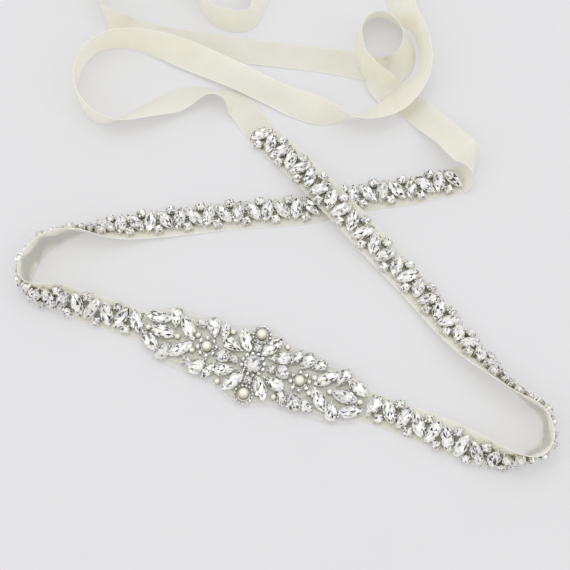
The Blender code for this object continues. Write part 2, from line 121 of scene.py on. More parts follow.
# The route from tail B's cut end to tail A's: x and y on the table, how far the ribbon's lowest corner
# is lifted, the roll about its own direction in degrees (90 stands it on edge with its left edge up,
# 180 turns it over), and where a stretch starts, its name
ROUTE_COLUMNS = ("x", "y", "lift", "roll", "mark")
TAIL_B_ROUTE = [
    (-12, 170, 0, 360, "tail_b_end"),
    (-9.5, 142, 0, 358),
    (-11, 118, 0, 346),
    (-12.5, 101, 0, 320, "tail_b_bight"),
    (-13.6, 89, 0, 292),
    (-16.5, 81, 0, 282),
    (-22, 78.8, 0, 285),
    (-30, 80.2, 0, 286),
    (-37.5, 83, 0, 281),
    (-43, 89.5, 0, 276),
    (-48, 98, 0, 272),
    (-54, 110, 0, 270, "tail_b_turn"),
    (-64, 124, 0, 270),
    (-79, 132, 0, 270),
    (-92, 128, 0, 272),
    (-100, 116, 0, 276),
    (-102, 101, 0, 278),
    (-98.5, 86, 0, 272),
    (-91, 78, 0, 232),
    (-79, 75.6, 0, 184, "tail_b_upper_run"),
    (-65, 73, 0, 180),
    (-45, 69, 0, 180),
    (-5, 63, 0, 180),
    (24, 59, 0, 180),
    (39, 56, 0, 180),
    (50, 53, 0, 184, "tail_b_ring"),
    (60, 51, 0, 206),
    (67, 55.5, 0, 226),
    (69.8, 64, 0, 239),
    (67.8, 72.5, 0, 250),
    (61.8, 80.2, 0, 252),
    (54, 84, 0, 250),
    (46, 79, 0.6, 254),
    (42.3, 67, 2.2, 258),
    (43.6, 56, 2.8, 259),
    (48.4, 47, 2.7, 252),
    (53.5, 41.6, 1.6, 226),
    (58, 38.2, 0.3, 196, "tail_b_lower_run"),
    (62.5, 35.4, 0, 182),
    (69.6, 30.6, 0, 180),
    (79.8, 19.8, 2.6, 180),
    (87, 10.6, 7, 180),
    (91.2, 3.2, 11.2, 180, "tail_b_fold"),
]

# The fold: tail B comes over a level line and goes on under it as the left run, half a turn of a helix
FOLD_START = (96.2, -3.4)
FOLD_END = (93.6, -14.6)
FOLD_RADIUS = 6.6
FOLD_SPREAD = 2.4
FOLD_ROWS = 12

SASH_ROUTE = [
    (93.6, -14.6, 0, 0, "left_run"),
    (84, -16.8, 0, 0),
    (68, -20.6, 0, 0),
    (44, -24, 0, 0),
    (17, -31, 0, 0),
    (-15, -34, 0, 0),
    (-42, -37, 0, 2),
    (-63, -40, 0, 6),
    (-81, -43, 0, 18),
    (-95, -46, 0, 48, "left_bend"),
    (-106, -48, 0, 82),
    (-116, -51, 0, 96),
    (-125, -58, 0, 104),
    (-129, -66, 0, 106),
    (-130, -73, 0, 102),
    (-126, -79, 0, 82),
    (-118, -81.5, 0, 60),
    (-106, -84.5, 0, 38, "front"),
    (-92, -89, 0, 20),
    (-74, -95, 0, 6),
    (-53, -102, 0, 0),
    (-14, -117, 0, 0, "middle"),
    (29, -133, 0, 0),
    (59, -144, 0, 3),
    (78, -152, 0, 13),
    (92, -159, 0, 34, "right_bend"),
    (105, -164, 0, 66),
    (115, -165, 0, 96),
    (123, -163, 0, 112),
    (128, -157, 0, 104),
    (129, -150, 0, 94),
    (126, -142, 0, 88),
    (117.5, -135, 0, 78),
    (106.5, -124, 0, 58),
    (93.2, -108.9, 0, 32, "right_run"),
    (79.5, -90.6, 0, 14),
    (61.5, -67.5, 1, 4),
    (47, -52, 4.6, 0),
    (34, -37, 6.5, 0),
    (20, -21, 6.5, 0),
    (5, -3, 2.6, 0),
    (-10, 13, 0, 0, "tail_a_start"),
    (-16, 21.5, 0, 0),
    (-22.5, 29.5, 0, 10),
    (-28.5, 33.6, 0, 34),
    (-35, 35, 0, 54),
    (-42, 35.6, 0, 40),
    (-49, 34.8, 0, 24),
    (-57, 32, 0, 16),
    (-68, 26.4, 0, 32),
    (-79, 21.2, 0, 46),
    (-88, 18, 0, 62, "tail_a_turn"),
    (-97, 18.5, 0, 84),
    (-106, 26, 0, 92),
    (-111, 37, 0, 92),
    (-111, 48, 0, 90),
    (-107, 59, 0, 88),
    (-99, 66, 0, 87),
    (-88, 68, 0.8, 82),
    (-78, 66.8, 1.8, 72, "tail_a_long_run"),
    (-66, 63.8, 2, 56),
    (-54, 59.8, 2, 36),
    (-43, 55.8, 2, 20),
    (-25, 47.8, 2.5, 5),
    (-5, 38, 1.2, 0),
    (13, 28, 0, 28),
    (27, 22, 0, 72, "tail_a_twist"),
    (38, 20, 0.6, 112),
    (50, 22, 2.8, 138),
    (62, 29, 3.3, 150),
    (72.2, 39.5, 2.9, 136),
    (77.6, 51, 0.4, 114),
    (78.6, 60, 0, 106),
    (77.6, 69, 0, 102),
    (73.8, 78.5, 0, 104),
    (69.2, 88, 0, 134, "tail_a_end"),
    (66.3, 99, 0, 168),
    (61, 118, 0, 180),
    (55, 139, 0, 180),
    (53, 165, 0, 180),
]

# Between these marks the ribbon carries the trims
TRIMMED = ("left_run", "tail_a_start")

# Where each trim's marquises stand: rows of (number, s), evenly spaced between two rows. The left
# trim's stones close up on its bend.
STONE_PLACES = {
    "trim_left": [(0, -63.3), (5, -102.3), (15, -173.1), (40, -365.3)],
    "trim_right": [(0, 63.5), (10, 141.9), (24, 249.9), (36, 347.1), (40, 378.5)],
}

# How far the trim's middle lies from the ribbon's middle: rows of (s, v)
TRIM_MIDDLE = [
    (-180, -1.0),
    (-150, -0.6),
    (-110, 0.2),
    (-76, 0.3),
    (-62, 1.4),
    (62, 1.0),
    (78, 0.4),
    (92, -1.0),
    (180, -1.0),
    (255, -0.7),
    (320, 1.0),
]

# Corners (v, h) of the bare ribbon's section and of the trim on it
PLAIN_SECTION = ((8.0, 0.5), (8.0, -0.5), (-8.0, 0.5), (-8.0, -0.5))
TRIM_SECTION = ((-8.8, 1.0), (-8.8, 1.8), (-8.3, 4.4), (6.8, 1.0), (6.3, 4.4))

# Soft creases in the satin: middle (s, v), lean from straight across, reach, width and depth
CREASE_COLUMNS = ("s", "v", "lean", "reach", "width", "depth")
CREASES = [
    (-925, 1, 14, 9, 5.0, 0.35),
    (-903, -2, -22, 7, 3.6, 0.30),
    (-868, 3, 28, 8, 3.2, 0.55),
    (-861, -1, 36, 6, 2.4, -0.40),
    (-846, 2, -18, 9, 4.2, 0.50),
    (-829, -3, 24, 7, 3.0, 0.45),
    (-812, 1, -30, 8, 3.6, 0.40),
    (-771, 0, 10, 9, 5.5, 0.35),
    (-736, 2, -16, 7, 4.6, 0.40),
    (-704, -1, 34, 8, 3.0, 0.55),
    (-695, 2, 40, 6, 2.2, -0.35),
    (-668, -2, -12, 8, 5.5, 0.30),
    (-631, 3, 20, 7, 4.4, 0.35),
    (-598, -1, -26, 8, 3.8, 0.30),
    (-572, 2, 30, 7, 3.2, 0.40),
    (-541, -2, 38, 8, 2.8, 0.50),
    (-512, 1, -12, 8, 4.4, 0.35),
    (-476, 2, 22, 7, 3.4, 0.45),
    (-462, -1, 42, 7, 2.6, 0.55),
    (-455, 3, 46, 5, 2.0, -0.35),
    (-431, -2, -20, 8, 4.0, 0.35),
    (-408, 1, 35, 8, 3.0, 0.50),
    (-394, -2, 30, 7, 2.4, 0.40),
    (-383, 3, -24, 6, 2.6, 0.35),
    (392, 2, -32, 8, 3.0, 0.55),
    (401, -1, -38, 7, 2.4, -0.40),
    (416, 3, 20, 7, 4.0, 0.50),
    (437, -2, -16, 8, 4.6, 0.45),
    (455, 1, 28, 8, 3.4, 0.55),
    (464, 3, 34, 6, 2.2, -0.35),
    (498, -1, -10, 8, 5.0, 0.35),
    (531, 2, 18, 8, 4.4, 0.35),
    (549, -2, -34, 7, 3.0, 0.50),
    (556, 1, -40, 6, 2.2, -0.35),
    (586, 2, 14, 8, 5.6, 0.30),
    (619, -3, -22, 7, 4.0, 0.35),
    (655, 1, 30, 8, 3.4, 0.50),
    (668, -2, 38, 7, 2.6, 0.45),
    (691, 2, -24, 8, 3.6, 0.50),
    (713, -1, -34, 7, 2.8, 0.45),
    (744, 2, 16, 8, 4.6, 0.35),
    (769, -2, 32, 8, 3.2, 0.50),
    (781, 1, 40, 6, 2.4, -0.35),
    (812, 2, -14, 8, 5.0, 0.30),
    (841, -1, 20, 7, 4.4, 0.30),
]

# Half the width of the centrepiece's backing, by distance from its middle
BACKING_OUTLINE = [
    (0.0, 22.0),
    (5.5, 21.3),
    (9.5, 18.8),
    (15.0, 16.6),
    (22.0, 16.4),
    (35.0, 15.6),
    (46.5, 15.0),
    (53.0, 12.4),
    (57.4, 10.4),
    (59.2, 6.0),
]

# The centrepiece's stones: kind, length, width, place (u, v), angle, and where its images stand:
# "all" in four quarters, "ends" at both ends, "sides" over and under, "once" by itself
FLOWER = [
    ("round", 8.2, 8.2, 0, 0, 0, "once"),
    ("round", 4.2, 4.2, 9.6, 0, 0, "ends"),
    ("round", 4.0, 4.0, 0, 8.8, 0, "sides"),
    ("round", 6.6, 6.6, 15.6, 0, 0, "ends"),
    ("marquise", 11.6, 5.2, 6.9, 11.2, 58, "all"),
    ("pear", 9.8, 5.4, 12.4, 6.6, 197, "all"),
]
WINGS = [
    ("marquise", 11.6, 5.6, 48.5, 0, 0, "ends"),
    ("marquise", 8.0, 3.8, 19.4, 11.2, 72, "all"),
    ("pear", 9.6, 5.8, 25.2, 10.6, 243, "all"),
    ("pear", 7.2, 4.6, 31.6, 10.6, 219, "sides"),
    ("round", 4.8, 4.8, -31.6, 10.6, 0, "sides"),
    ("marquise", 12.2, 5.2, 37.0, 5.8, 47, "all"),
    ("pear", 9.6, 5.6, 44.6, 9.0, -106, "all"),
    ("marquise", 11.2, 5.0, 53.0, 6.6, -26, "once"),
    ("marquise", 11.2, 5.0, 53.0, -6.6, 29, "once"),
    ("marquise", 11.2, 5.0, -53.0, 6.6, 6, "once"),
    ("marquise", 11.2, 5.0, -53.0, -6.6, -36, "once"),
]

# Pearls: diameter, place (u, v) and images. Halos of tiny stones: a stone's size, the ring's radius,
# how many stones, the ring's place and its images.
FLOWER_PEARLS = [(6.0, 0, 15.9, "sides"), (3.4, 14.4, 13.4, "all")]
WING_PEARLS = [
    (6.0, 24.8, 0, "ends"),
    (3.5, 31.2, 4.2, "all"),
    (3.5, 40.6, 0, "ends"),
    (3.5, 56.3, 0, "ends"),
]
FLOWER_HALOS = [(2.3, 5.6, 12, 0, 0, "once"), (1.6, 4.4, 15, 0, 15.9, "sides")]
WING_HALOS = [(2.5, 4.6, 8, 24.8, 0, "ends")]

# Lamps in metres and watts: name, place, target, size and power
LAMPS = [
    ("overhead_softbox", (-0.10, 0.30, 1.10), (0, 0, 0), (1.2, 1.0), 1.7),
    ("key_lamp", (-0.12, 0.10, 1.0), (0, 0, 0), (0.14, 0.14), 0.5),
    ("left_strip", (-0.75, -0.35, 0.55), (0, -0.08, 0), (0.10, 0.5), 0.5),
    ("right_strip", (0.70, -0.20, 0.60), (0, -0.08, 0), (0.10, 0.5), 0.5),
]

# Camera: where it looks on the table and how far away it is, in metres, its height angle, its lens
CAMERA_TARGET = (0.002, -0.0735)
CAMERA_DISTANCE = 0.62308
CAMERA_ELEVATION = 69
CAMERA_LENS = 76.74
TABLE_REACH = 8.0


def cubic_spline(knots, values, at):
    """Natural cubic spline through the values, one column at a time."""
    count = len(knots)
    span = np.diff(knots)
    system = np.eye(count)
    right = np.zeros_like(values)
    for i in range(1, count - 1):
        system[i, i - 1] = span[i - 1]
        system[i, i] = 2 * (span[i - 1] + span[i])
        system[i, i + 1] = span[i]
        right[i] = 6 * ((values[i + 1] - values[i]) / span[i] - (values[i] - values[i - 1]) / span[i - 1])
    bend = np.linalg.solve(system, right)
    k = np.clip(np.searchsorted(knots, at, side="right") - 1, 0, count - 2)
    width = span[k][:, None]
    left = (knots[k + 1] - at)[:, None]
    done = (at - knots[k])[:, None]
    curve = (bend[k] * left**3 + bend[k + 1] * done**3) / (6 * width)
    start = (values[k] / width - bend[k] * width / 6) * left
    return curve + start + (values[k + 1] / width - bend[k + 1] * width / 6) * done


def eased(knots, values, at):
    """Smooth values that never overshoot a row: cubic pieces with level or averaged slopes."""
    span = np.diff(knots)
    slope = np.diff(values) / span
    tangent = np.zeros(len(knots))
    for i in range(1, len(knots) - 1):
        if slope[i - 1] * slope[i] > 0:
            tangent[i] = 2 * slope[i - 1] * slope[i] / (slope[i - 1] + slope[i])
    k = np.clip(np.searchsorted(knots, at, side="right") - 1, 0, len(knots) - 2)
    t = (at - knots[k]) / span[k]
    rise = values[k + 1] - values[k]
    first = span[k] * tangent[k]
    last = span[k] * tangent[k + 1]
    return values[k] + first * t + (3 * rise - 2 * first - last) * t**2 + (first + last - 2 * rise) * t**3


def lowest(section, roll):
    """How far the section's lowest corner lies under the ribbon's middle line."""
    sine, cosine = np.sin(roll), np.cos(roll)
    return np.max([-(v * sine + h * cosine) for v, h in section], axis=0)


def spun(x, y, angle):
    """x and y turned by an angle in radians."""
    return x * np.cos(angle) - y * np.sin(angle), x * np.sin(angle) + y * np.cos(angle)


def fold_rows():
    """Rows of the fold: its angle runs from 0 on top to pi underneath.

    The middle line goes round a circle while it moves evenly along the fold's line. The ribbon's
    face points to that line, which gives the roll. The spread widens the circle's lower half, so
    that the ribbon's lower corner stays over the table.
    """
    start, end = np.array(FOLD_START), np.array(FOLD_END)
    line = end - start
    side = np.array([-line[1], line[0]]) / np.linalg.norm(line)
    pitch = np.linalg.norm(line) / math.hypot(np.linalg.norm(line), math.pi * FOLD_RADIUS)
    rows = []
    for angle in np.linspace(0, math.pi, FOLD_ROWS, endpoint=False):
        x, y = start + line * angle / math.pi + side * FOLD_RADIUS * math.sin(angle)
        roll = math.atan2(pitch * math.sin(angle), -math.cos(angle))
        height = PLAIN_SECTION[0][1] + FOLD_RADIUS * (1 + math.cos(angle)) + FOLD_SPREAD * math.sin(angle)
        rows.append((x, y, height - float(lowest(PLAIN_SECTION, roll)), math.degrees(roll)))
    return rows


class Route:
    """The ribbon's middle line with its directions: along it, across it and out of its face.

    The rows' places are joined by a cubic spline, their lifts and rolls by eased curves. The middle
    line stands over the lift by the depth of the ribbon's section at its roll. Across is level
    before the roll turns it about along.
    """

    STEP = 0.5

    def __init__(self):
        route = TAIL_B_ROUTE + fold_rows() + SASH_ROUTE
        rows = [dict(zip(ROUTE_COLUMNS, row)) for row in route]
        flat = np.array([(row["x"], row["y"]) for row in rows], float)
        knots = np.concatenate([[0.0], np.cumsum(np.linalg.norm(np.diff(flat, axis=0), axis=1))])
        at = np.arange(0.0, knots[-1], self.STEP)
        plan = cubic_spline(knots, flat, at)
        lift = eased(knots, np.array([row["lift"] for row in rows], float), at)
        roll = np.radians(eased(knots, np.array([row["roll"] for row in rows], float), at))
        marks = {row["mark"]: knot for row, knot in zip(rows, knots) if "mark" in row}
        trimmed = (at > marks[TRIMMED[0]]) & (at < marks[TRIMMED[1]])
        plain = lowest(PLAIN_SECTION, roll)
        height = np.where(trimmed, np.maximum(plain, lowest(TRIM_SECTION, roll)), plain)
        self.point = np.column_stack([plan, lift + height])
        step = np.linalg.norm(np.diff(self.point, axis=0), axis=1)
        length = np.concatenate([[0.0], np.cumsum(step)])
        self.s = length - np.interp(marks["middle"], at, length)
        self.along = np.gradient(self.point, self.s, axis=0)
        self.along /= np.linalg.norm(self.along, axis=1)[:, None]
        level = np.cross([0.0, 0.0, 1.0], self.along)
        level /= np.linalg.norm(level, axis=1)[:, None]
        upright = np.cross(self.along, level)
        cosine, sine = np.cos(roll)[:, None], np.sin(roll)[:, None]
        self.across = cosine * level + sine * upright
        self.out = -sine * level + cosine * upright
        self.point[:, 2] -= RIBBON_DROP * np.abs(np.cos(roll))

    def sample(self, table, s):
        """A table of points or directions along the route, read between its rows at s."""
        return np.column_stack([np.interp(s, self.s, table[:, axis]) for axis in range(3)])

    def place(self, s, v, h):
        """Points in millimetres at the given s, v and h."""
        s, v, h = (np.asarray(value, float) for value in (s, v, h))
        return self.sample(self.point, s) + v[:, None] * self.sample(self.across, s) \
            + h[:, None] * self.sample(self.out, s)

    def stand(self, shape, s, v, angle, foot):
        """Stiff copies of a shape, one for each s, v, angle and foot height, as one shape.

        A copy's own x and y are turned by its angle, then laid along and across the ribbon where
        the copy stands, with its z out of the ribbon's face. Nothing reaches under the table.
        """
        points, faces = shape
        angle, foot = np.broadcast_to(angle, s.shape), np.broadcast_to(foot, s.shape)
        x, y = spun(points[:, 0], points[:, 1], np.radians(angle)[:, None])
        along = self.sample(self.along, s)
        along /= np.linalg.norm(along, axis=1)[:, None]
        out = self.sample(self.out, s)
        across = np.cross(out, along)
        across /= np.linalg.norm(across, axis=1)[:, None]
        out = np.cross(along, across)
        made = self.place(s, v, foot)[:, None, :] + x[..., None] * along[:, None, :] \
            + y[..., None] * across[:, None, :] + points[:, 2][None, :, None] * out[:, None, :]
        made[..., 2] = np.maximum(made[..., 2], CLEAR_OF_TABLE)
        step = len(points) * np.arange(len(s))[:, None, None]
        return made.reshape(-1, 3), (faces[None, :, :] + step).reshape(-1, faces.shape[1])


def joined(shapes):
    """Several shapes as one: their points one after another, with the faces counted on."""
    starts = np.cumsum([0] + [len(points) for points, _ in shapes[:-1]])
    return (
        np.concatenate([points for points, _ in shapes]),
        np.concatenate([faces + start for (_, faces), start in zip(shapes, starts)]),
    )


def outline(kind, t):
    """A stone's edge, half its length and half its width being 1, at t from 0 to 1 round it.

    A round is a circle. A marquise is a circle whose y is squeezed toward its tips by a power of
    the sine. A pear is a circle whose y shrinks toward x = 1 by a power of the cosine of half the
    turn.
    """
    turn = 2 * math.pi * np.asarray(t, float)
    x = -np.cos(turn)
    sine = np.sin(turn)
    if kind == "marquise":
        return np.column_stack([x, -np.sign(sine) * np.abs(sine) ** MARQUISE_POWER])
    if kind == "pear":
        wide = -sine * np.abs(np.cos(turn / 2)) ** PEAR_POWER
        return np.column_stack([x, wide / PEAR_WIDEST])
    return np.column_stack([x, -sine])


def band(low, high, count, shift):
    """Triangles between two rings of count points; shift is 1 if the upper ring lies half a step back."""
    i = np.arange(count)
    j = (i + 1) % count
    up_i = (i + shift) % count
    up_j = (j + shift) % count
    return np.concatenate([
        np.column_stack([low + i, low + j, high + up_i]),
        np.column_stack([high + up_i, low + j, high + up_j]),
    ])


def wrapped(rings, shifts, first, last):
    """Rings of equally many points joined by triangles, each end closed to the point given for it."""
    count = len(rings[0])
    i = np.arange(count)
    after = (i + 1) % count
    end = (len(rings) - 1) * count
    faces = [band(k * count, (k + 1) * count, count, shift) for k, shift in enumerate(shifts)]
    faces.append(np.column_stack([after, i, np.full(count, end + count)]))
    faces.append(np.column_stack([end + i, end + after, np.full(count, end + count + 1)]))
    return np.concatenate([*rings, [first], [last]]), np.concatenate(faces)


def capped(rings):
    """Rings joined straight up, closed at the middle of the first and of the last."""
    rings = np.array(rings)
    shifts = [0] * (len(rings) - 1)
    return wrapped(rings, shifts, rings[0].mean(axis=0), rings[-1].mean(axis=0))


def lathe(kind, count, rings, length, width, base, top):
    """Rings of one outline at several sizes and heights, closed by a point under and one on top.

    A ring is (share of the size, height, half steps round); base and top are the points' heights.
    """
    edges = []
    for share, height, half in rings:
        x, y = outline(kind, (np.arange(count) + half / 2) / count).T * share
        edges.append(np.column_stack([x * length / 2, y * width / 2, np.full(count, height)]))
    shifts = [1 if low[2] > high[2] else 0 for low, high in zip(rings[:-1], rings[1:])]
    return wrapped(edges, shifts, (0.0, 0.0, base), (0.0, 0.0, top))


def crystal(kind, length, width, girdle):
    """A cut stone: a girdle, a row of crown facets, a row of star facets and a table."""
    count = 12 if kind != "round" or length > 6 else 8
    rings = [
        (0.92, girdle - 0.8, 0),
        (0.98, girdle, 0),
        (0.78, girdle + 0.7, 1),
        (0.54, girdle + 1.15, 0),
    ]
    return lathe(kind, count, rings, length, width, girdle - 1.0, girdle + 0.85)


def cup(kind, length, width, girdle):
    """The metal cup under a stone: a foot, a flared wall and a thin lip turned in at the girdle."""
    count = 12 if kind != "round" else 8
    rings = [
        (0.45, 0.0, 0),
        (0.70, 0.25, 0),
        (0.97, girdle * 0.6, 0),
        (1.0, girdle - 0.15, 0),
        (0.95, girdle - 0.05, 0),
    ]
    return lathe(kind, count, rings, length, width, 0.0, girdle - 1.2)


def claw(girdle, size):
    """One claw: a square bar that stands at the lip and bends in over the stone, to a blunt tip.

    Its rows are x, height, half the width and half the depth of each ring of corners at size 1.
    """
    rows = [
        (0.10, 0.0, 0.42, 0.26),
        (0.16, girdle - 0.1, 0.44, 0.26),
        (-0.05, girdle + 0.35, 0.42, 0.24),
        (-0.52, girdle + 0.62, 0.30, 0.16),
    ]
    rings = []
    for x, z, wide, deep in rows:
        height = z if z < girdle else girdle + size * (z - girdle)
        corners = ((-deep, -wide), (deep, -wide), (deep, wide), (-deep, wide))
        rings.append([(size * (x + along), size * across, height) for along, across in corners])
    return capped(rings)


# Where a setting's claws stand round its outline, from 0 to 1
CLAW_PLACES = {
    "marquise": (0.0, 0.19, 0.31, 0.5, 0.69, 0.81),
    "pear": (0.5, 0.34, 0.16, 0.0, 0.84, 0.66),
    "round": (0.125, 0.375, 0.625, 0.875),
}


def claws(kind, length, width, girdle, size):
    """The claws of one setting, each turned to face out of the stone's edge where it stands."""
    bar, faces = claw(girdle, size)
    near = 0.02
    made = []
    for t in CLAW_PLACES[kind]:
        (x, y), ahead, behind = outline(kind, [t, t + near, t - near]) * (length / 2, width / 2)
        tangent = ahead - behind
        bar_x, bar_y = spun(bar[:, 0], bar[:, 1], math.atan2(-tangent[0], tangent[1]))
        made.append((np.column_stack([x + bar_x, y + bar_y, bar[:, 2]]), faces))
    return joined(made)


def setting(kind, length, width, girdle, size):
    """The cup of one stone with its claws."""
    return joined([cup(kind, length, width, girdle), claws(kind, length, width, girdle, size)])


def pearl(diameter):
    """A ball: each ring's radius is the sine of its angle down from the top."""
    down = np.linspace(math.pi, 0, 10)[1:-1]
    rings = [(math.sin(angle), diameter / 2 * (1 + math.cos(angle)), 0) for angle in down]
    return lathe("round", 14, rings, diameter, diameter, 0.0, diameter)


def tiny_stone(diameter):
    """A small cut stone in its own bead of metal: six sides, a girdle and a table."""
    rings = [(1.0, 0.2, 0), (1.0, 0.9, 0), (0.6, 1.35, 1)]
    return lathe("round", 6, rings, diameter, diameter, 0.2, 1.3)


def collar(diameter):
    """A low collar of metal round a pearl or a tiny stone: a flared wall, its lip turned in."""
    rings = [(0.8, 0.0, 0), (1.12, 0.1, 0), (1.14, 0.55, 0), (0.95, 0.75, 0)]
    return lathe("round", 12, rings, diameter, diameter, 0.0, 0.5)


def surface(name):
    """A new material with its node tree and its Principled shader."""
    made = bpy.data.materials.new(name)
    made.use_nodes = True
    tree = made.node_tree
    return made, tree, tree.nodes["Principled BSDF"]


def node(tree, kind, **settings):
    """A new node with the given settings."""
    made = tree.nodes.new(kind)
    for name, value in settings.items():
        setattr(made, name, value)
    return made


def fix(made, values):
    """Fixed values for some of a node's inputs."""
    for name, value in values.items():
        made.inputs[name].default_value = value


def object_place(tree):
    """The piece's own coordinates."""
    return node(tree, "ShaderNodeTexCoord").outputs["Object"]


def cloth_place(tree):
    """A sheet's own flat coordinates, as one socket and as its two parts."""
    uv = node(tree, "ShaderNodeUVMap", uv_map="cloth").outputs["UV"]
    parts = node(tree, "ShaderNodeSeparateXYZ")
    tree.links.new(uv, parts.inputs[0])
    return uv, parts.outputs["X"], parts.outputs["Y"]


def ramp(tree, source, stops, mode="LINEAR"):
    """The colours at their places, read by the source."""
    made = node(tree, "ShaderNodeValToRGB")
    made.color_ramp.interpolation = mode
    elements = made.color_ramp.elements
    while len(elements) < len(stops):
        elements.new(0.5)
    for element, (at, colour) in zip(elements, stops):
        element.position = at
        element.color = (*colour, 1.0)
    tree.links.new(source, made.inputs["Fac"])
    return made.outputs["Color"]


def noise(tree, coordinates, scale, detail=3.0):
    """Cloudy noise at the coordinates."""
    made = node(tree, "ShaderNodeTexNoise")
    fix(made, {"Scale": scale, "Detail": detail, "Roughness": 0.5})
    tree.links.new(coordinates, made.inputs["Vector"])
    return made.outputs["Fac"]


def calculate(tree, operation, *values):
    """The result of a sum on one to three values; each is a fixed number or a socket."""
    made = node(tree, "ShaderNodeMath", operation=operation)
    for index, value in enumerate(values):
        if isinstance(value, float):
            made.inputs[index].default_value = value
        else:
            tree.links.new(value, made.inputs[index])
    return made.outputs[0]


def wave(tree, value, length):
    """A sine of the value that repeats after the length, in metres."""
    return calculate(tree, "SINE", calculate(tree, "MULTIPLY", value, 2 * math.pi / length))


def blend(tree, share, first, second, mode="MIX"):
    """The second colour laid over the first at a share; each is a fixed colour or a socket."""
    made = node(tree, "ShaderNodeMix", data_type="RGBA", blend_type=mode)
    for index, value in ((0, share), (6, first), (7, second)):
        if isinstance(value, tuple):
            made.inputs[index].default_value = (*value, 1.0)
        elif isinstance(value, float):
            made.inputs[index].default_value = value
        else:
            tree.links.new(value, made.inputs[index])
    return made.outputs[2]


def dress(tree, shader, tone, gloss, relief, distance=0.0001):
    """Links for a shader's colour, roughness and fine relief.

    gloss is a source, a spread and a least value: the source moves the roughness from the least
    value up by the spread. relief is a height and its strength.
    """
    tree.links.new(tone, shader.inputs["Base Color"])
    tree.links.new(calculate(tree, "MULTIPLY_ADD", *gloss), shader.inputs["Roughness"])
    height, strength = relief
    bump = node(tree, "ShaderNodeBump")
    fix(bump, {"Strength": strength, "Distance": distance})
    tree.links.new(height, bump.inputs["Height"])
    tree.links.new(bump.outputs["Normal"], shader.inputs["Normal"])


def satin():
    """Ivory satin: fine floats along the ribbon, a tight selvedge, slow drifts of tone."""
    made, tree, shader = surface("ivory_satin")
    uv, along, across = cloth_place(tree)
    picks = calculate(tree, "MULTIPLY_ADD", wave(tree, along, SATIN_PICKS), 0.25, 0.75)
    weave = calculate(tree, "MULTIPLY", wave(tree, across, SATIN_FLOATS), picks)
    edge = calculate(tree, "ABSOLUTE", across)
    selvedge = calculate(tree, "GREATER_THAN", edge, SELVEDGE_FROM)
    cloudy = noise(tree, uv, 60.0)
    tone = ramp(tree, cloudy, [(0.3, (0.80, 0.765, 0.60)), (0.7, (0.86, 0.83, 0.68))])
    tone = blend(tree, calculate(tree, "MULTIPLY", selvedge, 0.35), tone, (0.92, 0.90, 0.79))
    height = calculate(tree, "MULTIPLY_ADD", selvedge, 1.6, calculate(tree, "MULTIPLY", weave, 0.5))
    dress(tree, shader, tone, (noise(tree, uv, 240.0), 0.14, 0.26), (height, 0.35), 0.00006)
    fix(shader, {
        "Subsurface Weight": 0.9,
        "Subsurface Radius": (1.0, 0.96, 0.84),
        "Subsurface Scale": 0.0025,
        "Sheen Weight": 0.12,
        "Sheen Roughness": 0.4,
        "Specular IOR Level": 0.6,
    })
    return made


def cut_crystal():
    """Foil-backed crystal with painted reflections: each facet has its own painted tone, from near black
    to white, a few tinted as painted fire, in place of the light and dark that the facets would mirror.

    facet is a random number for each face; stone is one for each stone, and a high one dulls it.
    """
    made, tree, shader = surface("cut_crystal")
    facet = node(tree, "ShaderNodeAttribute", attribute_name="facet").outputs["Fac"]
    stone = node(tree, "ShaderNodeAttribute", attribute_name="stone").outputs["Fac"]
    # Painted reflections: these facet tones, near black to white with a few tinted, stand in for glints
    # and for the dark that the facets mirror.
    tone = ramp(tree, facet, [
        (0.0, (0.015, 0.015, 0.02)),
        (0.08, (0.20, 0.19, 0.18)),
        (0.17, (0.46, 0.45, 0.43)),
        (0.28, (0.78, 0.77, 0.75)),
        (0.42, (1.0, 1.0, 0.99)),
        (0.975, (0.58, 0.54, 0.80)),
        (0.988, (0.92, 0.74, 0.50)),
    ], "CONSTANT")
    inside = noise(tree, object_place(tree), 900.0, 2.0)
    shade = ramp(tree, inside, [(0.35, (0.72, 0.71, 0.70)), (0.62, (1.0, 1.0, 1.0))])
    shaded = blend(tree, 0.6, tone, shade, "MULTIPLY")
    dull = calculate(tree, "MULTIPLY", calculate(tree, "POWER", stone, 4.0), 0.4)
    dulled = blend(tree, dull, shaded, (0.42, 0.41, 0.40))
    dress(tree, shader, dulled, (inside, 0.10, 0.03), (inside, 0.12))
    fix(shader, {"Metallic": 0.4, "Coat Weight": 0.8, "Coat Roughness": 0.03})
    return made


def worn_metal(name, scale, stops, gloss, relief, metallic):
    """Plated metal with soft wear; gloss is the spread and the least value of its roughness."""
    made, tree, shader = surface(name)
    worn = noise(tree, object_place(tree), scale)
    dress(tree, shader, ramp(tree, worn, stops), (worn, *gloss), (worn, relief))
    fix(shader, {"Metallic": metallic})
    return made


def silver():
    """Silver plating with a warm film in its low places."""
    stops = [(0.3, (0.58, 0.56, 0.50)), (0.6, (0.87, 0.86, 0.83))]
    return worn_metal("silver_setting", 700.0, stops, (0.25, 0.16), 0.2, 0.95)


def shade_web_metal():
    """The dull, dark, warm-toned metal between the cups: painted shade for the gaps between the stones.
    """
    stops = [(0.3, (0.40, 0.37, 0.26)), (0.7, (0.56, 0.53, 0.41))]
    return worn_metal("painted_shade_web", 500.0, stops, (0.3, 0.35), 0.4, 0.4)


def shaded_stiff_net():
    """The pale stiff net between the centrepiece's stones, a little greyer than the satin as painted
    shade between the stones: fine cells, a little grey in their holes.
    """
    made, tree, shader = surface("shaded_stiff_net")
    cells = node(tree, "ShaderNodeTexVoronoi")
    fix(cells, {"Scale": 1400.0})
    tree.links.new(object_place(tree), cells.inputs["Vector"])
    depth = cells.outputs["Distance"]
    # Painted shade: the net's greyish tone darkens the gaps between the centrepiece's stones.
    tone = ramp(tree, depth, [(0.1, (0.66, 0.65, 0.57)), (0.6, (0.80, 0.79, 0.72))])
    dress(tree, shader, tone, (depth, 0.2, 0.5), (depth, 0.4))
    return made


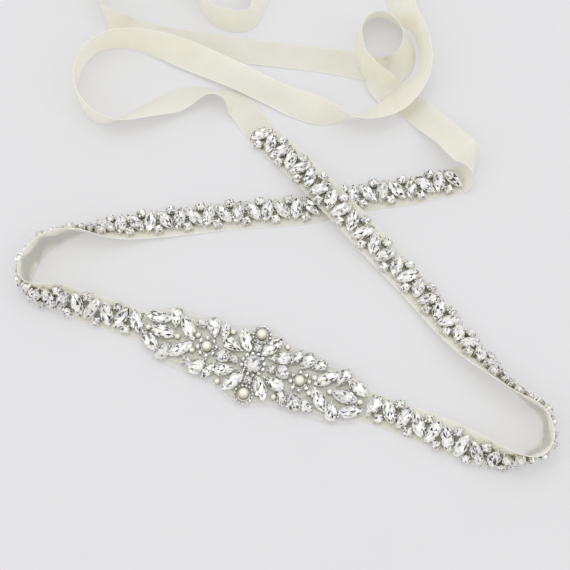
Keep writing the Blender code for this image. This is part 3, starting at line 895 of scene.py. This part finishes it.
def nacre():
    """Pearl: cream under a clear coat, with faint rosy and green drifts, and painted shade that darkens
    it toward its foot.

    rise is a point's height on its own pearl, from 0 at the foot to 1 on top.
    """
    made, tree, shader = surface("pearl")
    drift = noise(tree, object_place(tree), 420.0, 2.0)
    body = ramp(tree, drift, [
        (0.3, (0.93, 0.88, 0.81)),
        (0.5, (0.94, 0.91, 0.84)),
        (0.7, (0.90, 0.91, 0.84)),
    ])
    rise = node(tree, "ShaderNodeAttribute", attribute_name="rise").outputs["Fac"]
    # Painted shade: by its rise, each pearl darkens from its top, which keeps the full colour as a
    # painted highlight, down to its foot.
    depth = ramp(tree, rise, [
        (0.45, (0.34, 0.31, 0.24)),
        (0.80, (0.72, 0.68, 0.59)),
        (0.94, (1.0, 1.0, 1.0)),
    ])
    tone = blend(tree, 1.0, body, depth, "MULTIPLY")
    dress(tree, shader, tone, (drift, 0.12, 0.14), (drift, 0.05))
    fix(shader, {"Coat Weight": 0.5, "Coat Roughness": 0.08, "Sheen Weight": 0.2})
    return made


def organza():
    """Sheer stiff cloth: an open grid of fine threads, a little darker between them."""
    made, tree, shader = surface("organza")
    uv, along, across = cloth_place(tree)
    threads = [
        calculate(tree, "ABSOLUTE", wave(tree, place, ORGANZA_THREADS))
        for place in (along, across)
    ]
    grid = calculate(tree, "MAXIMUM", *threads)
    tone = ramp(tree, grid, [(0.2, (0.78, 0.77, 0.72)), (0.9, (0.88, 0.87, 0.83))])
    cloudy = noise(tree, uv, 150.0)
    tone = blend(tree, calculate(tree, "MULTIPLY", cloudy, 0.3), tone, (0.90, 0.88, 0.82))
    dress(tree, shader, tone, (cloudy, 0.2, 0.4), (grid, 0.4))
    fix(shader, {"Alpha": 0.17})
    return made


def thread():
    """Twisted sewing thread: a slanting lay of two plies."""
    made, tree, shader = surface("sewing_thread")
    plies = node(tree, "ShaderNodeTexWave", bands_direction="DIAGONAL")
    fix(plies, {"Scale": 900.0})
    tree.links.new(object_place(tree), plies.inputs["Vector"])
    lay = plies.outputs["Fac"]
    tone = ramp(tree, lay, [(0.2, (0.74, 0.71, 0.63)), (0.8, (0.88, 0.86, 0.80))])
    dress(tree, shader, tone, (lay, 0.2, 0.5), (lay, 0.3))
    return made


def add_piece(name, shape, material, nodes, smooth=False, uv=None):
    """A mesh in metres that rides the sash and stands for CAD nodes; uv has a row for each point."""
    points, faces = shape
    mesh = bpy.data.meshes.new(name)
    mesh.from_pydata((points * MM).tolist(), [], faces.tolist())
    mesh.polygons.foreach_set("use_smooth", np.full(len(faces), smooth))
    if uv is not None:
        layer = mesh.uv_layers.new(name="cloth")
        corners = np.empty(len(mesh.loops), np.int32)
        mesh.loops.foreach_get("vertex_index", corners)
        layer.data.foreach_set("uv", (uv[corners] * MM).ravel())
    mesh.materials.append(material)
    mesh.update()
    made = bpy.data.objects.new(name, mesh)
    bpy.context.scene.collection.objects.link(made)
    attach(made, "root")
    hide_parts(*nodes)
    return made


def give(piece, name, domain, values):
    """An attribute of the piece's faces or points."""
    made = piece.data.attributes.new(name, "FLOAT", domain)
    made.data.foreach_set("value", values.astype(np.float32))


def scatter(piece, per_stone):
    """Random face values: facet for each face, and stone for each run of per_stone faces."""
    count = len(piece.data.polygons)
    give(piece, "facet", "FACE", rng.random(count))
    stones = rng.random(math.ceil(count / per_stone))
    give(piece, "stone", "FACE", np.repeat(stones, per_stone)[:count])


def shell(middle, normal, thick):
    """A closed wall round a grid of points: half its thickness over it and half under it."""
    rows, columns = middle.shape[:2]
    top = (middle + normal * thick / 2).reshape(-1, 3)
    under = (middle - normal * thick / 2).reshape(-1, 3)
    index = np.arange(rows * columns).reshape(rows, columns)
    a, b, c, d = index[:-1, :-1], index[1:, :-1], index[1:, 1:], index[:-1, 1:]
    upper = np.stack([a, b, c, d], axis=-1).reshape(-1, 4)
    rim = np.concatenate([index[0, :-1], index[:-1, -1], index[-1, :0:-1], index[:0:-1, 0]])
    after = np.roll(rim, -1)
    size = rows * columns
    wall = np.column_stack([rim, after, after + size, rim + size])
    return np.concatenate([top, under]), np.concatenate([upper, upper[:, ::-1] + size, wall])


def crease_height(s, v):
    """Depth of the soft creases: each is a bell across its own line, fading out along it."""
    height = np.zeros_like(s)
    for row in CREASES:
        crease = dict(zip(CREASE_COLUMNS, row))
        off, on = spun(s - crease["s"], v - crease["v"], math.radians(crease["lean"]))
        height += crease["depth"] * np.exp(-(off / crease["width"]) ** 2 - (on / crease["reach"]) ** 4)
    return height


def laid(route, s, v, h, thick):
    """A closed wall, its middle at the grids of s, v and h, never under the table."""
    flat = [np.broadcast_to(grid, s.shape).ravel() for grid in (s, v, h)]
    middle = route.place(*flat).reshape(*s.shape, 3)
    middle[..., 2] = np.maximum(middle[..., 2], thick / 2)
    normal = route.sample(route.out, flat[0]).reshape(*s.shape, 3)
    return shell(middle, normal, thick)


def cloth_uv(s, v):
    """Flat places of a sheet's points: once for its upper face and once for its lower face."""
    place = np.column_stack([s.ravel(), v.ravel()])
    return np.concatenate([place, place])


def satin_ribbon(route):
    """The whole ribbon as one wall, swept along the route.

    Its edges waver by a sum of two sines that grows with the square of v, and its creases show
    where it is bare of stones. Both turn to the other face where the ribbon lies turned over.
    """
    columns = 15
    s = np.arange(route.s[0], route.s[-1], RIBBON_STEP)
    v = RIBBON_WIDTH / 2 * np.sin(np.linspace(-math.pi / 2, math.pi / 2, columns))
    s, v = np.meshgrid(s, v, indexing="ij")
    bare = np.clip((np.abs(s) - BARE_FROM) / BARE_FADE, 0, 1)
    edge = (v / (RIBBON_WIDTH / 2)) ** 2
    waver = 0.5 + 0.30 * np.sin(s / 8.3 + 1.1 * np.sign(v)) + 0.20 * np.sin(s / 4.9 + 2.0)
    height = bare * crease_height(s, v) + (EDGE_RISE + BARE_EDGE_RISE * bare) * edge * waver
    height *= np.tanh((s + TURNED_OVER) / TURN_FADE)
    shape = laid(route, s, v, height, RIBBON_THICK)
    names = [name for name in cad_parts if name.startswith("ribbon_")]
    made = add_piece("satin_ribbon", shape, satin(), names, True, cloth_uv(s, v))


def backing_half(u):
    """Half the backing's width at u."""
    return np.interp(np.abs(u), *np.array(BACKING_OUTLINE).T)


def backing_grid(end_inset, side_inset, columns, rows):
    """The backing's outline less two insets: u, half its width at each u, and grids of u and v."""
    length = BACKING_OUTLINE[-1][0] - end_inset
    u = np.linspace(-length, length, columns)
    half = backing_half(u) - side_inset
    grid_v = half[:, None] * np.linspace(-1, 1, rows)
    return u, half, np.repeat(u[:, None], rows, axis=1), grid_v


def backing(route):
    """The sheer cloth under the centrepiece. Its ripple is a sine that grows by a cube to the rim."""
    rows = 25
    u, half, grid_u, grid_v = backing_grid(0.0, 0.0, 121, rows)
    to_rim = np.abs(np.linspace(-1, 1, rows))
    ripple = 0.12 * np.sin(grid_u / 3.1 + grid_v / 5.0) * to_rim**3
    shape = laid(route, grid_u, grid_v, BACKING_H + ripple, BACKING_THICK)
    uv = cloth_uv(grid_u, grid_v)
    made = add_piece("organza_backing", shape, organza(), ["centre_backing"], True, uv)


def trim_middle(s):
    """How far the trim's middle lies from the ribbon's middle at s."""
    return np.interp(s, *np.array(TRIM_MIDDLE, float).T)


def trim_places(name):
    """Where one trim's stones stand: the marquises, and a round at the open side of each gap."""
    number, at = np.array(STONE_PLACES[name], float).T
    count = np.arange(STONES_IN_TRIM)
    s = np.interp(count, number, at)
    backward = (count % 2 == 0) == (name == "trim_left")
    marquises = (s, trim_middle(s), np.where(backward, BACKWARD_ANGLE, FORWARD_ANGLE))
    middle = (s[:-1] + s[1:]) / 2
    side = np.where(backward[:-1] == (name == "trim_right"), 1, -1)
    rounds = (middle, trim_middle(middle) + side * SMALL_OFFSET, SMALL_ANGLE)
    return marquises, rounds


def trim_shade_web(route, name):
    """A thin dark web that the cups stand on, a strip that swings out to each round; its dark tone is
    painted shade between the stones.

    Its middle swings by a sine from stone to stone. It ends a little past the outer stones.
    """
    number, at = np.array(STONE_PLACES[name], float).T
    last = STONES_IN_TRIM - 1
    count = np.arange(-WEB_END, last + WEB_END + 0.01, 0.1)
    beyond = np.minimum(count, 0) + np.maximum(count - last, 0)
    s = np.interp(count, number, at) + np.sign(at[-1]) * STONE_SPACING * beyond
    swing = -WEB_SWING * np.cos(math.pi * (count - 0.5))
    across = np.linspace(-WEB_WIDTH / 2, WEB_WIDTH / 2, 7)
    grid_s = np.repeat(s[:, None], len(across), axis=1)
    grid_v = trim_middle(s)[:, None] + swing[:, None] + across[None, :]
    points, faces = laid(route, grid_s, grid_v, TRIM_FOOT + WEB_LIFT, WEB_THICK)
    return points, faces if at[-1] > 0 else faces[:, ::-1]


def link(length):
    """A short bar of metal between two cups: six sides, along x."""
    radius, height = 0.42, 0.5
    turn = np.arange(6) * math.pi / 3
    y, z = radius * np.cos(turn), height + radius * np.sin(turn)
    return capped([np.column_stack([np.full(6, x), y, z]) for x in (-length / 2, length / 2)])


def stitch(length):
    """A sewn thread: a parabola along x that starts and ends in the ribbon."""
    radius, rise, sunk = 0.16, 0.9, 0.15
    turn = np.arange(5) * 2 * math.pi / 5
    y, z = radius * np.cos(turn), radius * np.sin(turn)
    return capped([
        np.column_stack([np.full(5, share * length / 2), y, rise * (1 - share**2) + z - sunk])
        for share in np.linspace(-1, 1, 6)
    ])


def crystal_trim(route, name, materials):
    """One trim: leaning marquises, small rounds at their open sides, cups, claws, links, stitches."""
    marquises, rounds = trim_places(name)
    metal = []
    for suffix, kind, size, girdle, claw_size, places in (
        ("_marquises", "marquise", MARQUISE, TRIM_GIRDLE, MARQUISE_CLAW, marquises),
        ("_rounds", "round", (SMALL_ROUND, SMALL_ROUND), TRIM_GIRDLE - SMALL_DROP, SMALL_CLAW, rounds),
    ):
        gem = crystal(kind, *size, girdle)
        stones = route.stand(gem, *places, TRIM_FOOT)
        piece = add_piece(name + suffix, stones, materials["crystal"], [name])
        scatter(piece, len(gem[1]))
        metal.append(route.stand(setting(kind, *size, girdle, claw_size), *places, TRIM_FOOT))
    add_piece(name + "_settings", joined(metal), materials["silver"], [name])
    # The web's dark tone is painted shade in the gaps between the stones.
    add_piece(name + "_web", trim_shade_web(route, name), materials["web"], [name], True)
    between = rounds[0]
    middle = trim_middle(between)
    bars = route.stand(link(LINK_LENGTH), between, middle, 0.0, TRIM_FOOT)
    add_piece(name + "_links", bars, materials["silver"], [name], True)
    sewn = joined([
        route.stand(stitch(TRIM_STITCH), between, middle + side, 90.0, TRIM_FOOT)
        for side in (-TRIM_STITCH_OFFSET, TRIM_STITCH_OFFSET)
    ])
    add_piece(name + "_stitches", sewn, materials["thread"], [name], True)


def images(u, v, angle, where):
    """The places of a stone and of its mirror images."""
    made = [(u, v, angle)]
    if where in ("all", "ends"):
        made += [(-u, v, 180 - angle)]
    if where in ("all", "sides"):
        made += [(u, -v, -angle) for u, v, angle in made]
    return made


def turned(places, turn):
    """Places turned about the middle of the centrepiece, as arrays of s, v and angle."""
    u, v, angle = np.array(places, float).T
    return (*spun(u, v, math.radians(turn)), angle + turn)


def centrepiece(route, materials):
    """The flower and its two wings: crystals in cups, ringed pearls and small pearls."""
    gems, counts, dull, metal, beads, rises, dots, collars = [], [], [], [], [], [], [], []
    for rows, turn in ((FLOWER, CENTRE_TURN), (WINGS, 0.0)):
        for kind, length, width, u, v, angle, where in rows:
            places = turned(images(u, v, angle, where), turn)
            fill = ROUND_FILL if kind == "round" else LONG_FILL
            length, width = length * fill[0], width * fill[1]
            gem = crystal(kind, length, width, CENTRE_GIRDLE)
            gems.append(route.stand(gem, *places, CENTRE_FOOT))
            counts += [len(gem[1])] * len(places[0])
            dull += [kind == "round"] * len(places[0])
            held = setting(kind, length, width, CENTRE_GIRDLE, CENTRE_CLAW)
            metal.append(route.stand(held, *places, CENTRE_FOOT))
    for rows, turn in ((FLOWER_PEARLS, CENTRE_TURN), (WING_PEARLS, 0.0)):
        for diameter, u, v, where in rows:
            places = turned(images(u, v, 0, where), turn)
            foot = CENTRE_FOOT + (LARGE_PEARL_LIFT if diameter > 5 else 0.0)
            ball = pearl(diameter * PEARL_FILL)
            beads.append(route.stand(ball, *places, foot))
            # Each point's rise sets the painted shade on the pearls.
            rises.append(np.tile(ball[0][:, 2] / ball[0][:, 2].max(), len(places[0])))
            collars.append(route.stand(collar(diameter), *places, CENTRE_FOOT))
    for rows, turn in ((FLOWER_HALOS, CENTRE_TURN), (WING_HALOS, 0.0)):
        for diameter, radius, count, u, v, where in rows:
            angle = np.arange(count) * 2 * math.pi / count + HALO_START
            for at_u, at_v, _ in images(u, v, 0, where):
                x, y = at_u + radius * np.cos(angle), at_v + radius * np.sin(angle)
                places = turned(np.column_stack([x, y, np.degrees(angle)]), turn)
                dots.append(route.stand(tiny_stone(diameter), *places, CENTRE_FOOT + HALO_H))
                collars.append(route.stand(collar(diameter * 0.9), *places, CENTRE_FOOT + HALO_COLLAR_H))
    applique = ["centre_applique"]
    piece = add_piece("centre_crystals", joined(gems), materials["crystal"], applique)
    scatter(piece, 1)
    stones = np.repeat(np.where(dull, DULL_ROUND, rng.random(len(counts))), counts).astype(np.float32)
    piece.data.attributes["stone"].data.foreach_set("value", stones)
    piece = add_piece("centre_small_stones", joined(dots), materials["crystal"], applique)
    scatter(piece, len(tiny_stone(1.0)[1]))
    add_piece("centre_settings", joined(metal), materials["silver"], applique)
    add_piece("centre_collars", joined(collars), materials["silver"], applique)
    piece = add_piece("centre_pearls", joined(beads), materials["pearl"], applique, True)
    give(piece, "rise", "POINT", np.concatenate(rises))


def stone_bed(route, materials):
    """The stiff net that the centrepiece's stones are fixed to, a little smaller than the backing; its
    greyer tone is painted shade between the stones.
    """
    _, _, grid_u, grid_v = backing_grid(BED_MARGIN / 2, BED_MARGIN, 91, 15)
    shape = laid(route, grid_u, grid_v, BACKING_H + BED_H, BED_THICK)
    add_piece("centre_bed", shape, materials["net"], ["centre_applique"], True)


def backing_stitches(route, materials):
    """Small stitches over the backing's edge, or over the ribbon's where that lies further in."""
    length = BACKING_OUTLINE[-1][0]
    spacing, farthest, inside, lean = 4.2, 8.6, 0.8, 12
    u = np.arange(-length + 3, length - 2, spacing)
    edge = np.minimum(backing_half(u), farthest) - inside
    places = [(u, side * edge, 90.0 + lean * side) for side in (-1, 1)]
    sewn = joined([route.stand(stitch(BACKING_STITCH), *place, BACKING_H) for place in places])
    add_piece("backing_stitches", sewn, materials["thread"], ["centre_backing"], True)


def table_top():
    """A pale matt table, wide enough to fill every view; it glows though it is no lamp, painted light
    that keeps the shadows faint.
    """
    mesh = bpy.data.meshes.new("table_top")
    corners = [(x * TABLE_REACH, y * TABLE_REACH, 0) for x, y in ((-1, -1), (1, -1), (1, 1), (-1, 1))]
    mesh.from_pydata(corners, [], [(0, 1, 2, 3)])
    made, tree, shader = surface("pale_table")
    grain = noise(tree, object_place(tree), 30.0)
    tone = ramp(tree, grain, [(0.3, (0.47, 0.472, 0.488)), (0.7, (0.48, 0.482, 0.498))])
    tree.links.new(tone, shader.inputs["Base Color"])
    # Painted light: the table gives off a glow of its own, which lifts every shadow cast on it.
    fix(shader, {
        "Roughness": 0.9,
        "Specular IOR Level": 0.1,
        "Emission Color": (0.985, 0.985, 1.0, 1.0),
        "Emission Strength": 0.3,
    })
    mesh.materials.append(made)
    floor = bpy.data.objects.new("table_top", mesh)
    bpy.context.scene.collection.objects.link(floor)


def softbox(name, place, target, size, power):
    """A rectangular lamp at its place, turned to its target."""
    light = bpy.data.lights.new(name, "AREA")
    light.shape = "RECTANGLE"
    light.size, light.size_y = size
    light.energy = power
    made = bpy.data.objects.new(name, light)
    bpy.context.scene.collection.objects.link(made)
    made.location = place
    aim = Vector(target) - Vector(place)
    made.rotation_euler = aim.to_track_quat("-Z", "Y").to_euler()


def studio():
    """A pale room, a wide softbox overhead and a little behind, and three small lamps for sparkle."""
    world = bpy.data.worlds.new("pale_room")
    world.use_nodes = True
    sky = world.node_tree.nodes["Background"]
    fix(sky, {"Color": (1.0, 0.993, 0.975, 1.0), "Strength": 0.83})
    bpy.context.scene.world = world
    for lamp in LAMPS:
        softbox(*lamp)
    bpy.context.scene.view_settings.view_transform = "Standard"


def camera():
    """The photograph's camera: high above the table, tipped down from level, with a narrow lens."""
    x, y = CAMERA_TARGET
    elevation = math.radians(CAMERA_ELEVATION)
    data = bpy.data.cameras.new("camera")
    data.sensor_width = 36
    data.lens = CAMERA_LENS
    data.clip_start, data.clip_end = 0.01, 20
    made = bpy.data.objects.new("camera", data)
    back, up = CAMERA_DISTANCE * math.cos(elevation), CAMERA_DISTANCE * math.sin(elevation)
    made.location = (x, y - back, up)
    made.rotation_euler = (math.radians(90 - CAMERA_ELEVATION), 0, 0)
    bpy.context.scene.collection.objects.link(made)
    bpy.context.scene.camera = made


def build():
    """The sash, the table, the lamps and the camera."""
    route = Route()
    materials = {
        "crystal": cut_crystal(),
        "silver": silver(),
        "web": shade_web_metal(),
        "net": shaded_stiff_net(),
        "pearl": nacre(),
        "thread": thread(),
    }
    satin_ribbon(route)
    backing(route)
    backing_stitches(route, materials)
    for name in STONE_PLACES:
        crystal_trim(route, name, materials)
    stone_bed(route, materials)
    centrepiece(route, materials)
    table_top()
    studio()
    camera()


build()
